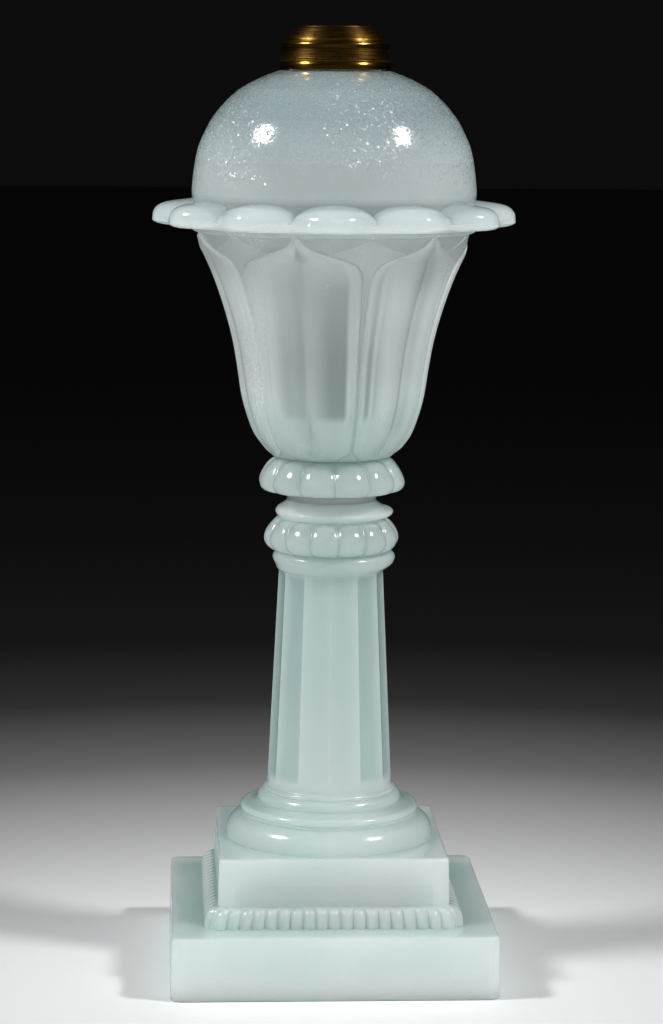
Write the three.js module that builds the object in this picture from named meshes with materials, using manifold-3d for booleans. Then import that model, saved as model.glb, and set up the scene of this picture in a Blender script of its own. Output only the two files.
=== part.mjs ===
// Whale oil lamp: a pressed glass pedestal and a glass font joined by a glass wafer,
// with a brass collar held on the neck of the font by plaster.
// Millimetres, +Z up. The lamp stands on Z = 0 with its axis on Z and the front of its base at -Y.
import * as THREE from 'three';
import { mergeVertices } from 'three/addons/utils/BufferGeometryUtils.js';
import Module from 'manifold-3d';

const wasm = await Module();
wasm.setup();

// Driving dimensions of the base.
const plinthWidth = 103.7;
const plinthHeight = 20.2;
const plinthDraft = 0.5;
const plinthCornerRadius = 3.3;
const plinthEdgeBevel = 1;
const blockWidth = 73.5;
const blockHeight = 21.6;
const blockDraft = 0.5;
const blockCornerRadius = 3;
const mouldingHeight = 6.3;
const mouldingProjection = 4.3;
const reedDepth = 0.7;
const reedsPerSide = 19;
const footHeight = 19.4;
const footRadius = 33.9;
const columnHeight = 68.2;
const columnRadiusBottom = 20.3;
const columnRadiusTop = 17;
const fluteCount = 12;
const fluteDepth = 0.9;
const beadHeight = 6.2;
const beadRadius = 19.9;
const baseKnopHeight = 11;
const baseKnopRadius = 22;
const baseKnopLobes = 14;
const baseKnopLobeDepth = 0.9;
const ringHeight = 6.3;
const ringRadius = 19.4;
const neckRadius = 14.5;

// Hollow pressed into the base from beneath.
const pocketWidthBottom = 66;
const pocketWidthTop = 60;
const pocketHeight = 33;
const pocketCornerRadius = 8;
const boreRadiusBottom = 12;
const boreRadiusTop = 6.5;
const boreTopHeight = 116;

// Wafer between base and font.
const waferThickness = 2.8;
const waferRadius = 14.3;
const waferBulge = 0.4;

// Driving dimensions of the font.
const fontKnopHeight = 10.8;
const fontKnopRadius = 23.9;
const fontKnopLobes = 12;
const fontKnopLobeDepth = 1.3;
const bellHeight = 75;
const bellRimRadius = 45.4;
const domeHeight = 49.2;
const domeRadius = 45.6;
const flangeRadius = 58.4;
const flangeLobes = 12;
const flangeValleyRadius = 53.6;
const flangeRimRise = 2;
const flangeValleyRise = 3.1;
const flangeTopRise = 8.3;
const petalRoundness = 2.2;
const leafCount = 6;
const leafTipDrop = 1.1;
const leafShoulderDrop = 16.4;
const leafStripAngle = 4;
const leafStep = 0.9;
const leafCreaseDepth = 1.3;
const leafEdgeRoll = 0.4;
const backLeafTipDrop = 1.9;
const backLeafDrop = 10;
const backLeafRise = 0.5;
const wallThickness = 4.2;
const fontFloorThickness = 13;
const glassNeckRadius = 14.6;
const glassNeckHeight = 7.3;
const glassNeckBoreRadius = 12.4;

// Driving dimensions of the collar and its plaster.
const collarHeight = 13.8;
const collarSkirtRadius = 17.8;
const collarBandRadius = 17.3;
const collarShoulderRadius = 16.2;
const collarRimRadius = 12.1;
const collarOpeningRadius = 11.1;
const collarWall = 0.8;
const collarSleeveDepth = 10.5;
const seatGap = 0.3;

// Turns of the patterns about the axis, in degrees from the front of the base towards +X.
const fluteTurn = -3;
const baseKnopTurn = 3.5;
const fontKnopTurn = 0;
const flangeTurn = -3;
// A leaf's tip points at a valley between two petals.
const leafTurn = flangeTurn - 180 / flangeLobes;

// Numbers of flat faces that stand for the round ones.
const turnedSegments = 44;
const hollowSegments = 30;
const collarSegments = 32;
const facesPerFlute = 5;
const facesPerLobe = 5;
const facesPerPetal = 6;
const facesPerReed = 2;
const cornerFaces = 4;
const bellCurveSamples = 200;
const overrun = 1;

const fullTurn = 2 * Math.PI;
const radians = THREE.MathUtils.degToRad;

// Heights where the pieces of the stack meet.
const blockTop = plinthHeight + blockHeight;
const footTop = blockTop + footHeight;
const columnTop = footTop + columnHeight;
const beadTop = columnTop + beadHeight;
const baseKnopTop = beadTop + baseKnopHeight;
const baseTop = baseKnopTop + ringHeight;
const fontBottom = baseTop + waferThickness;
const fontKnopTop = fontBottom + fontKnopHeight;
const bellTop = fontKnopTop + bellHeight;
const domeTop = bellTop + domeHeight;
const glassNeckTop = domeTop + glassNeckHeight;
const collarBottom = domeTop + seatGap;
const collarTop = collarBottom + collarHeight;

const glass = { base: 0xa9cfc6, wafer: 0xb4d6cc, font: 0xb9c4c4 };

// Geometry helpers.

// Merges the corners that neighbouring triangles share and drops triangles that collapse on the axis.
function weld(geometry) {
  geometry.deleteAttribute('normal');
  geometry.deleteAttribute('uv');
  const merged = mergeVertices(geometry);
  const corners = merged.index.array;
  const kept = [];
  for (let i = 0; i < corners.length; i += 3) {
    const [a, b, c] = [corners[i], corners[i + 1], corners[i + 2]];
    if (a !== b && b !== c && c !== a) kept.push(a, b, c);
  }
  merged.setIndex(kept);
  merged.computeVertexNormals();
  return merged;
}

function toSolid(geometry) {
  const welded = weld(geometry);
  const vertProperties = Float32Array.from(welded.attributes.position.array);
  const triVerts = Uint32Array.from(welded.index.array);
  return new wasm.Manifold(new wasm.Mesh({ numProp: 3, vertProperties, triVerts }));
}

function toGeometry(solid) {
  const mesh = solid.getMesh();
  const geometry = new THREE.BufferGeometry();
  geometry.setAttribute('position', new THREE.Float32BufferAttribute(mesh.vertProperties, 3));
  geometry.setIndex([...mesh.triVerts]);
  geometry.computeVertexNormals();
  return geometry;
}

function join(solids) {
  return solids.reduce((whole, solid) => whole.add(solid));
}

// A point at an angle from the front (-Y) towards +X, a distance from the axis and a height.
function polar(angle, radius, height) {
  return new THREE.Vector3(radius * Math.sin(angle), -radius * Math.cos(angle), height);
}

// Revolves a profile of Vector2(radius, height), listed from the bottom up, about Z.
function revolve(profile, segments) {
  return new THREE.LatheGeometry(profile, segments).rotateX(Math.PI / 2);
}

// Closed skin over a stack of rings with the same number of points, listed from the bottom up,
// each ring running anticlockwise seen from above. The two end rings are closed by flat fans.
function skin(rings) {
  const count = rings[0].length;
  const points = rings.flat();
  const faces = [];
  for (let row = 0; row + 1 < rings.length; row++) {
    for (let i = 0; i < count; i++) {
      const next = (i + 1) % count;
      const [a, b] = [row * count + i, row * count + next];
      faces.push(a, b, b + count, a, b + count, a + count);
    }
  }
  const top = (rings.length - 1) * count;
  const bottomCentre = points.push(centreOf(rings[0])) - 1;
  const topCentre = points.push(centreOf(rings.at(-1))) - 1;
  for (let i = 0; i < count; i++) {
    const next = (i + 1) % count;
    faces.push(bottomCentre, next, i, topCentre, top + i, top + next);
  }
  const geometry = new THREE.BufferGeometry().setFromPoints(points);
  geometry.setIndex(faces);
  return geometry;
}

function centreOf(ring) {
  return ring.reduce((sum, point) => sum.add(point), new THREE.Vector3()).divideScalar(ring.length);
}

// Radius and height along a smooth curve through stations given as shares of a radius and a height.
function smoothProfile(stationShares, radius, bottom, height, steps) {
  const stations = stationShares.map(([radiusShare, heightShare]) =>
    new THREE.Vector2(radiusShare * radius, bottom + heightShare * height));
  return new THREE.SplineCurve(stations).getPoints(steps);
}

// Square with rounded corners, centred on the axis.
function roundedSquare(width, cornerRadius) {
  const side = width / 2;
  const inner = side - cornerRadius;
  const shape = new THREE.Shape();
  shape.moveTo(-inner, -side);
  shape.lineTo(inner, -side);
  shape.absarc(inner, -inner, cornerRadius, -Math.PI / 2, 0);
  shape.lineTo(side, inner);
  shape.absarc(inner, inner, cornerRadius, 0, Math.PI / 2);
  shape.lineTo(-inner, side);
  shape.absarc(-inner, inner, cornerRadius, Math.PI / 2, Math.PI);
  shape.lineTo(-side, -inner);
  shape.absarc(-inner, -inner, cornerRadius, Math.PI, 3 * Math.PI / 2);
  return shape;
}

// Block of rounded squares: one ring per [width, cornerRadius, height].
function squareStack(sections) {
  return skin(sections.map(([width, cornerRadius, height]) => {
    const outline = roundedSquare(width, cornerRadius).getPoints(cornerFaces);
    if (outline[0].distanceTo(outline.at(-1)) < cornerRadius / cornerFaces) outline.pop();
    return outline.map((point) => new THREE.Vector3(point.x, point.y, height));
  }));
}

// Place across a repeated lobe: 0 in the middle of the lobe, -1 and 1 in its two valleys.
function acrossLobe(step, stepsPerLobe) {
  return 2 * (step % stepsPerLobe) / stepsPerLobe - 1;
}

// Turned body whose rows swell into round lobes with creased valleys. Each row is
// [radius, height, depth of the valleys, rise of the valleys]; the turn places a valley.
function lobedBody(rows, lobes, turn) {
  const steps = lobes * facesPerLobe;
  return skin(rows.map(([radius, height, depth, rise]) =>
    Array.from({ length: steps }, (_, i) => {
      const across = acrossLobe(i, facesPerLobe) ** 2;
      const angle = radians(turn) + fullTurn * i / steps;
      return polar(angle, radius - depth * across, height + rise * across);
    })));
}

// Base: square plinth, reeded moulding, block, round foot, fluted column and turned knops,
// pressed in one piece and hollow from beneath.

function plinth() {
  const bottomWidth = plinthWidth + 2 * plinthDraft;
  const bevelWidth = plinthWidth - 2 * plinthEdgeBevel;
  return toSolid(squareStack([
    [bottomWidth, plinthCornerRadius, 0],
    [plinthWidth, plinthCornerRadius, plinthHeight - plinthEdgeBevel],
    [bevelWidth, plinthCornerRadius - plinthEdgeBevel, plinthHeight],
  ]));
}

function block() {
  const bottomWidth = blockWidth + 2 * blockDraft;
  return toSolid(squareStack([
    [bottomWidth, blockCornerRadius, plinthHeight - overrun],
    [blockWidth, blockCornerRadius, blockTop],
  ]));
}

// Quarter-round moulding at the foot of the block, with reeds running down it.
function reededMoulding() {
  const steps = reedsPerSide * facesPerReed;
  const rowAngles = [0, Math.PI / 5, Math.PI / 2];
  const foot = blockWidth / 2 + blockDraft;
  const rings = rowAngles.map((angle) => {
    const half = foot + mouldingProjection * Math.cos(angle);
    const height = plinthHeight + mouldingHeight * Math.sin(angle);
    return squareOfReeds(half, height, steps);
  });
  const buried = squareOfReeds(foot + mouldingProjection, plinthHeight - overrun, steps);
  return toSolid(skin([buried, ...rings]));
}

function squareOfReeds(half, height, stepsPerSide) {
  const ring = [];
  for (let side = 0; side < 4; side++) {
    const turn = new THREE.Matrix4().makeRotationZ(side * Math.PI / 2);
    for (let step = 0; step < stepsPerSide; step++) {
      const valley = step > 0 && step % facesPerReed === 0;
      const out = half - (valley ? reedDepth : 0);
      const along = half * (2 * step / stepsPerSide - 1);
      ring.push(new THREE.Vector3(along, -out, height).applyMatrix4(turn));
    }
  }
  return ring;
}

// Round foot: an ovolo, a small fillet, a sweeping cyma and a bead under the column.
function foot() {
  const ovoloHeight = 0.46 * footHeight;
  const ovoloInset = footRadius - 0.85 * footRadius;
  const fillet = new THREE.Vector2(footRadius - ovoloInset, blockTop + ovoloHeight);
  const filletRise = 0.07 * footHeight;
  const beadSize = 0.12 * footHeight;
  const beadCentre = footTop - beadSize;
  const cymaEnd = new THREE.Vector2(columnRadiusBottom + beadSize, beadCentre - beadSize);
  const path = new THREE.Path();
  path.moveTo(0, blockTop - overrun);
  path.lineTo(footRadius, blockTop - overrun);
  path.lineTo(footRadius, blockTop);
  path.quadraticCurveTo(footRadius, blockTop + ovoloHeight / 2, fillet.x, fillet.y);
  path.lineTo(fillet.x, fillet.y + filletRise);
  path.bezierCurveTo(
    fillet.x - ovoloInset, fillet.y + 2 * filletRise,
    cymaEnd.x, cymaEnd.y - beadSize,
    cymaEnd.x, cymaEnd.y,
  );
  path.quadraticCurveTo(cymaEnd.x, footTop - beadSize / 2, columnRadiusBottom, footTop);
  path.lineTo(0, footTop);
  return toSolid(revolve(path.getPoints(3), turnedSegments));
}

// Tapered column with concave flutes between sharp arrises.
function column() {
  const steps = fluteCount * facesPerFlute;
  const ends = [
    [columnRadiusBottom, footTop - overrun],
    [columnRadiusTop, columnTop + overrun],
  ];
  return toSolid(skin(ends.map(([radius, height]) =>
    Array.from({ length: steps }, (_, i) => {
      const hollow = fluteDepth * (1 - acrossLobe(i, facesPerFlute) ** 2);
      return polar(radians(fluteTurn) + fullTurn * i / steps, radius - hollow, height);
    }))));
}

// Plain round bead on top of the column.
function bead() {
  const root = columnRadiusTop + fluteDepth / 2;
  const middle = columnTop + 0.62 * beadHeight;
  const path = new THREE.Path();
  path.moveTo(0, columnTop);
  path.lineTo(root, columnTop);
  path.quadraticCurveTo(beadRadius, columnTop + 0.25 * beadHeight, beadRadius, middle);
  path.quadraticCurveTo(beadRadius, beadTop, root + fluteDepth, beadTop);
  path.lineTo(root, beadTop + overrun);
  path.lineTo(0, beadTop + overrun);
  return toSolid(revolve(path.getPoints(3), turnedSegments));
}

// Lobed knop in the base. Shares of its radius, height and lobe depth.
function baseKnop() {
  const rowShares = [
    [0.81, -0.05, 0], [0.83, 0, 0.5], [0.95, 0.1, 1], [1, 0.38, 1],
    [0.98, 0.62, 1], [0.92, 0.84, 0.8], [0.83, 0.98, 0.2], [0.78, 1.05, 0],
  ];
  const rows = rowShares.map(([radiusShare, heightShare, depthShare]) =>
    [radiusShare * baseKnopRadius, beadTop + heightShare * baseKnopHeight,
      depthShare * baseKnopLobeDepth, 0]);
  return toSolid(lobedBody(rows, baseKnopLobes, baseKnopTurn));
}

// Ring above the knop, sweeping in to the neck that carries the wafer.
function ring() {
  const root = 0.93 * ringRadius;
  const widest = baseKnopTop + 0.42 * ringHeight;
  const path = new THREE.Path();
  path.moveTo(0, baseKnopTop - overrun);
  path.lineTo(root - overrun, baseKnopTop - overrun);
  path.lineTo(root, baseKnopTop);
  path.quadraticCurveTo(ringRadius, baseKnopTop + 0.15 * ringHeight, ringRadius, widest);
  path.bezierCurveTo(
    ringRadius, baseKnopTop + 0.68 * ringHeight,
    neckRadius, baseKnopTop + 0.72 * ringHeight,
    neckRadius, baseTop,
  );
  path.lineTo(0, baseTop);
  return toSolid(revolve(path.getPoints(3), turnedSegments));
}

// Square pocket under the block with a tapering round bore up the column.
function baseHollow() {
  const pocket = toSolid(squareStack([
    [pocketWidthBottom, pocketCornerRadius, -overrun],
    [pocketWidthTop, pocketCornerRadius, pocketHeight - overrun],
    [pocketWidthTop - 2 * overrun, pocketCornerRadius - overrun, pocketHeight],
  ]));
  const domeStart = boreTopHeight - boreRadiusTop;
  const path = new THREE.Path();
  path.moveTo(0, pocketHeight - overrun);
  path.lineTo(boreRadiusBottom, pocketHeight - overrun);
  path.lineTo(boreRadiusTop, domeStart);
  path.absarc(0, domeStart, boreRadiusTop, 0, Math.PI / 2);
  return pocket.add(toSolid(revolve(path.getPoints(3), hollowSegments)));
}

function base() {
  const outside = join([
    plinth(), reededMoulding(), block(), foot(), column(), bead(), baseKnop(), ring(),
  ]);
  return toGeometry(outside.subtract(baseHollow()));
}

// Wafer: a disc of glass whose rim bulges where it was pressed between base and font.

function wafer() {
  const path = new THREE.Path();
  path.moveTo(0, baseTop);
  path.lineTo(waferRadius, baseTop);
  const middle = (baseTop + fontBottom) / 2;
  path.quadraticCurveTo(waferRadius + 2 * waferBulge, middle, waferRadius, fontBottom);
  path.lineTo(0, fontBottom);
  return weld(revolve(path.getPoints(3), hollowSegments));
}

// Font: lobed knop, bell wrapped in leaves, scalloped flange, dome and neck, hollow for the oil.

function fontKnop() {
  const rowShares = [
    [0.84, 0, 0.4, 0], [0.96, 0.1, 1, 0.08], [1, 0.28, 1, 0.04], [0.975, 0.5, 1, 0],
    [0.925, 0.72, 0.9, 0], [0.86, 0.9, 0.6, 0], [0.79, 1.02, 0, 0], [0.75, 1.1, 0, 0],
  ];
  const rows = rowShares.map(([radiusShare, heightShare, depthShare, riseShare]) =>
    [radiusShare * fontKnopRadius, fontBottom + heightShare * fontKnopHeight,
      depthShare * fontKnopLobeDepth, riseShare * fontKnopHeight]);
  return toSolid(lobedBody(rows, fontKnopLobes, fontKnopTurn));
}

// Outer curve of the bell along the middle of a leaf, as shares of its rim radius and height.
const bellStationShares = [
  [0.42, 0], [0.502, 0.054], [0.574, 0.12], [0.645, 0.25], [0.68, 0.38],
  [0.715, 0.51], [0.77, 0.638], [0.84, 0.766], [0.93, 0.895], [1, 1],
];

function bellRadiusAt(curve, height) {
  const points = curve.getPoints(bellCurveSamples);
  const above = points.findIndex((point) => point.y >= height);
  if (above < 1) return above < 0 ? points.at(-1).x : points[0].x;
  const [low, high] = [points[above - 1], points[above]];
  return THREE.MathUtils.mapLinear(height, low.y, high.y, low.x, high.x);
}

// Half the angle that a front leaf covers: nothing at its tip, then an ogee out to its full width.
function leafHalfAngle(height) {
  const full = (fullTurn / leafCount - radians(leafStripAngle)) / 2;
  const down = THREE.MathUtils.clamp((bellTop - leafTipDrop - height) / leafShoulderDrop, 0, 1);
  return full * THREE.MathUtils.smoothstep(down ** 0.7, 0, 1);
}

// Half the angle that a back leaf covers: it fills what the two front leaves leave beneath its tip.
function backLeafHalfAngle(height, frontHalf, edgeAngle) {
  const halfPitch = fullTurn / leafCount / 2;
  const down = Math.max(bellTop - backLeafTipDrop - height, 0) / backLeafDrop;
  return Math.min(halfPitch * down, halfPitch - frontHalf - edgeAngle);
}

// One ring of the bell. Its columns follow the edges of the leaves, so each edge is a clean step.
function bellRing(height, radius) {
  const pitch = fullTurn / leafCount;
  const edge = radians(leafStripAngle) / 6;
  const front = Math.max(leafHalfAngle(height), edge / 2);
  const back = Math.max(backLeafHalfAngle(height, front, edge), edge / 2);
  const showing = front > edge / 2 ? 1 : 0;
  const backShowing = back > edge / 2 ? 1 : 0;
  const ground = radius - leafStep - backLeafRise;
  const frontAt = (share) => {
    const crease = leafCreaseDepth * Math.max(1 - share / 0.7, 0) ** 2;
    const roll = leafEdgeRoll * Math.max(share - 0.7, 0) / 0.3;
    return ground + showing * (radius - ground - crease - roll);
  };
  const backAt = ground + backShowing * backLeafRise;
  const half = [
    ...[0, 0.3, 0.7, 1].map((share) => [share * front, frontAt(share)]),
    [front + edge / 2, ground],
    [pitch / 2 - back - edge / 2, ground],
    [pitch / 2 - back, backAt],
    [pitch / 2 - back / 2, backAt],
  ];
  const mirrored = half.slice(1).reverse().map(([angle, out]) => [pitch - angle, out]);
  const columns = [...half, [pitch / 2, backAt], ...mirrored];
  const points = [];
  for (let leaf = 0; leaf < leafCount; leaf++) {
    for (const [angle, out] of columns) {
      points.push(polar(radians(leafTurn) + leaf * pitch + angle, out, height));
    }
  }
  return points;
}

function bell() {
  const rowShares = [
    0, 0.05, 0.12, 0.25, 0.45, 0.62, 0.75, 0.83, 0.88, 0.91, 0.94, 0.962, 0.985,
  ];
  const stations = bellStationShares.map(([radiusShare, heightShare]) =>
    new THREE.Vector2(radiusShare * bellRimRadius, fontKnopTop + heightShare * bellHeight));
  const curve = new THREE.SplineCurve(stations);
  const rings = rowShares.map((share) => {
    const height = fontKnopTop + share * bellHeight;
    return bellRing(height, bellRadiusAt(curve, height));
  });
  return toSolid(skin(rings));
}

// Scalloped flange: round lobes that arch from valley to valley, over a gently sloping underside.
function flange() {
  const valleyAngle = Math.PI / flangeLobes;
  const lobeCentre = (flangeRadius ** 2 - flangeValleyRadius ** 2)
    / (2 * (flangeRadius - flangeValleyRadius * Math.cos(valleyAngle)));
  const lobeRadius = flangeRadius - lobeCentre;
  const root = domeRadius - wallThickness / 2;
  const steps = flangeLobes * facesPerPetal;
  const flangeBottom = bellTop;
  const ringOf = (outShare, lift) => Array.from({ length: steps }, (_, i) => {
    const off = acrossLobe(i, facesPerPetal) * valleyAngle;
    const outline = lobeCentre * Math.cos(off)
      + Math.sqrt(lobeRadius ** 2 - (lobeCentre * Math.sin(off)) ** 2);
    const radius = root + outShare * (outline - root);
    const angle = radians(flangeTurn) - valleyAngle + fullTurn * i / steps;
    return polar(angle, radius, flangeBottom + lift(outShare, Math.abs(off) / valleyAngle));
  });
  const beneath = (outShare) => 0.75 * flangeRimRise * outShare ** 3;
  const above = (outShare, across) => {
    const arch = Math.sqrt(1 - across ** 2);
    const crest = flangeValleyRise + (flangeTopRise - flangeValleyRise) * arch;
    const swell = (1 - outShare ** petalRoundness) ** (1 / petalRoundness);
    return flangeRimRise + (crest - flangeRimRise) * swell;
  };
  const lowRings = [0, 0.6, 0.9].map((share) => ringOf(share, beneath));
  const rim = ringOf(1, () => flangeRimRise);
  const highRings = [0.94, 0.8, 0.55, 0].map((share) => ringOf(share, above));
  return toSolid(skin([...lowRings, rim, ...highRings]));
}

// Dome above the flange and the neck that stands inside the collar, as shares of its own size.
function dome() {
  const stationShares = [
    [0.99, -0.04], [1, 0.2], [0.97, 0.41], [0.91, 0.6],
    [0.81, 0.75], [0.68, 0.862], [0.54, 0.934], [0.4, 0.98],
  ];
  const curve = smoothProfile(stationShares, domeRadius, bellTop, domeHeight, 9);
  const profile = [
    new THREE.Vector2(0, curve[0].y),
    ...curve,
    new THREE.Vector2(collarSkirtRadius, domeTop),
    new THREE.Vector2(glassNeckRadius, domeTop),
    new THREE.Vector2(glassNeckRadius, glassNeckTop),
    new THREE.Vector2(0, glassNeckTop),
  ];
  return toSolid(revolve(profile, turnedSegments));
}

// Room for the oil, one wall thickness inside the bell and the dome, with the neck opening.
function reservoir() {
  const floor = fontBottom + fontKnopHeight + fontFloorThickness;
  const lowerShares = [[0.42, 0.03], [0.58, 0.11], [0.655, 0.26], [0.7, 0.42], [0.79, 0.68], [0.93, 0.92]];
  const upperShares = [[1, 0.25], [0.965, 0.43], [0.89, 0.62], [0.76, 0.78], [0.56, 0.9]];
  const lower = lowerShares.map(([radiusShare, heightShare]) => new THREE.Vector2(
    radiusShare * bellRimRadius - wallThickness - leafStep,
    floor + heightShare * (bellTop - floor)));
  const upper = upperShares.map(([radiusShare, heightShare]) => new THREE.Vector2(
    radiusShare * domeRadius - wallThickness,
    bellTop + heightShare * (domeHeight - wallThickness)));
  const curve = new THREE.SplineCurve([...lower, ...upper]).getPoints(11);
  const profile = [
    new THREE.Vector2(0, floor),
    ...curve,
    new THREE.Vector2(glassNeckBoreRadius, domeTop - wallThickness),
    new THREE.Vector2(glassNeckBoreRadius, glassNeckTop + overrun),
    new THREE.Vector2(0, glassNeckTop + overrun),
  ];
  return toSolid(revolve(profile, hollowSegments));
}

function font() {
  const outside = join([fontKnop(), bell(), flange(), dome()]);
  return toGeometry(outside.subtract(reservoir()));
}

// Collar: a spun brass shell turned over at its rim into the sleeve that takes a burner.

function collar() {
  const at = (share) => collarBottom + share * collarHeight;
  const sleeveBottom = collarTop - collarSleeveDepth;
  const shoulderBase = at(0.67);
  const innerSkirt = collarBandRadius - collarWall - collarWall / 4;
  const beadOut = collarWall / 3;
  const groove = collarShoulderRadius;
  const outer = [
    [collarSkirtRadius, at(0)],
    [collarSkirtRadius, at(0.06)],
    [collarBandRadius, at(0.2)],
    [collarBandRadius + beadOut, at(0.24)],
    [collarBandRadius, at(0.28)],
    [collarBandRadius, at(0.54)],
    [collarBandRadius + beadOut / 2, at(0.58)],
    [collarBandRadius, at(0.64)],
    [groove, shoulderBase],
  ];
  const shoulder = new THREE.QuadraticBezierCurve(
    new THREE.Vector2(groove, shoulderBase),
    new THREE.Vector2(collarRimRadius + 2 * collarWall, at(0.94)),
    new THREE.Vector2(collarRimRadius, collarTop),
  ).getPoints(4).slice(1);
  const inner = [
    [collarOpeningRadius, collarTop],
    [collarOpeningRadius, sleeveBottom],
    [collarOpeningRadius + collarWall, sleeveBottom],
    [collarOpeningRadius + collarWall, collarTop - 2 * collarWall],
    [collarRimRadius + collarWall / 2, collarTop - 2 * collarWall - collarWall / 2],
    [innerSkirt, shoulderBase - collarWall],
    [innerSkirt, at(0)],
    [collarSkirtRadius, at(0)],
  ];
  const profile = [
    ...outer.map(([radius, height]) => new THREE.Vector2(radius, height)),
    ...shoulder,
    ...inner.map(([radius, height]) => new THREE.Vector2(radius, height)),
  ];
  return weld(revolve(profile, collarSegments));
}

// Plaster packed between the collar and the neck, over the rim of the glass.
function collarCement() {
  const outer = collarBandRadius - collarWall - collarWall / 4 - seatGap;
  const inner = glassNeckRadius + seatGap;
  const overRim = glassNeckTop + seatGap;
  const sleeveSide = collarOpeningRadius + collarWall + seatGap;
  const top = collarTop - 3 * collarWall - 3 * seatGap;
  const shoulderBase = collarBottom + 0.67 * collarHeight - collarWall - seatGap;
  const profile = [
    [inner, collarBottom],
    [outer, collarBottom],
    [outer, shoulderBase],
    [sleeveSide + seatGap, top],
    [sleeveSide, top],
    [sleeveSide, overRim],
    [inner, overRim],
    [inner, collarBottom],
  ].map(([radius, height]) => new THREE.Vector2(radius, height));
  return weld(revolve(profile, collarSegments));
}

function piece(name, geometry, color, roughness, metalness) {
  const material = new THREE.MeshStandardMaterial({ color, roughness, metalness });
  const mesh = new THREE.Mesh(geometry, material);
  mesh.name = name;
  return mesh;
}

const lamp = new THREE.Group();
lamp.add(piece('base', base(), glass.base, 0.12, 0));
lamp.add(piece('wafer', wafer(), glass.wafer, 0.1, 0));
lamp.add(piece('font', font(), glass.font, 0.3, 0));
lamp.add(piece('collar_cement', collarCement(), 0xd9d2c2, 0.9, 0));
lamp.add(piece('collar', collar(), 0x8a6a32, 0.4, 1));

export default lamp;
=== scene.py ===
# Whale oil lamp of pressed milky glass with a brass collar.
# Lengths in the dictionaries are millimetres and become metres when a mesh is made.
# +Z is up, the lamp stands on Z = 0, and angles run from the front (-Y) towards +X.
import bpy
import math
import numpy as np
from mathutils import Matrix, Vector


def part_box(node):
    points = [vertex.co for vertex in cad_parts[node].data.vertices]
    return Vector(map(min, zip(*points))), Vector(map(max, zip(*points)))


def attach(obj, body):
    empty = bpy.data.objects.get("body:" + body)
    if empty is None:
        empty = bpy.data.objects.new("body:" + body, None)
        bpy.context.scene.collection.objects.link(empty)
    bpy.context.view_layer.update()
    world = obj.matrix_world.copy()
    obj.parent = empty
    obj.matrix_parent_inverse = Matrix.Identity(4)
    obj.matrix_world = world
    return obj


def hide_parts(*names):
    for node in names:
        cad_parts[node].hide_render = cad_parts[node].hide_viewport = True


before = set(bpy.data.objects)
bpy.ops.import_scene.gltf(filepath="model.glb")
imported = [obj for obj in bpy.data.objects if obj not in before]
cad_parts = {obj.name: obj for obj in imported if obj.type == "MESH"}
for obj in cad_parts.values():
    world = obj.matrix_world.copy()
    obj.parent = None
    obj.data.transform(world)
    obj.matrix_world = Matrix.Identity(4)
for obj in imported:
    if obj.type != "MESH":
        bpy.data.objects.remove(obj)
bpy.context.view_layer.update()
scene = bpy.context.scene
mm = 0.001
fullTurn = 2 * math.pi
sharpAngle = math.radians(38)     # edges of a mesh that turn by more stay sharp
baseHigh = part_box("base")[1] / mm
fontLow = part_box("font")[0] / mm
collarLow, collarHigh = (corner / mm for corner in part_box("collar"))
print("frame loaded:", ", ".join(sorted(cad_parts)))


# Camera, fitted to the corners of the plinth and the block.
cameraSpec = {
    "place": (-55.3, -1001.1, 295.8),
    "forward": (0.0546, 0.9879, -0.1454),
    "roll": 0.0088,               # the picture's content leans this much clockwise, in radians
    "focalPixels": 3115.0,        # in a picture 1024 pixels high
    "pictureHeight": 1024,
    "sensor": 36.0,
}


def makeCamera(spec):
    # Right and up are crossed from the forward direction, then both turned about it by the roll.
    forward = Vector(spec["forward"]).normalized()
    level = forward.cross(Vector((0, 0, 1))).normalized()
    upright = level.cross(forward)
    right = level * math.cos(spec["roll"]) + upright * math.sin(spec["roll"])
    up = right.cross(forward)
    data = bpy.data.cameras.new("photoCamera")
    data.sensor_fit = "AUTO"
    data.sensor_width = spec["sensor"]
    data.lens = spec["focalPixels"] * spec["sensor"] / spec["pictureHeight"]
    data.clip_start = 0.05
    data.clip_end = 30
    camera = bpy.data.objects.new("photoCamera", data)
    turned = Matrix((right, up, -forward)).transposed().to_4x4()
    camera.matrix_world = Matrix.Translation(Vector(spec["place"]) * mm) @ turned
    scene.collection.objects.link(camera)
    scene.camera = camera


makeCamera(cameraSpec)
scene.view_settings.view_transform = "Standard"
print("camera placed")


# Mesh helpers.

def roundAngles(columns, turn):
    return math.radians(turn) + fullTurn * np.arange(columns) / columns


def polarGrid(angle, radius, height):
    # Point = (r sin a, -r cos a, z). The three broadcast to one grid, of rows by columns.
    angle, radius, height = np.broadcast_arrays(angle, radius, height)
    return np.stack([radius * np.sin(angle), -radius * np.cos(angle), height], axis=-1)


def revolved(profile, angle):
    # Every profile point (r, z) is carried once round the axis.
    return polarGrid(angle, profile[:, 0, None], profile[:, 1, None])


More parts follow.
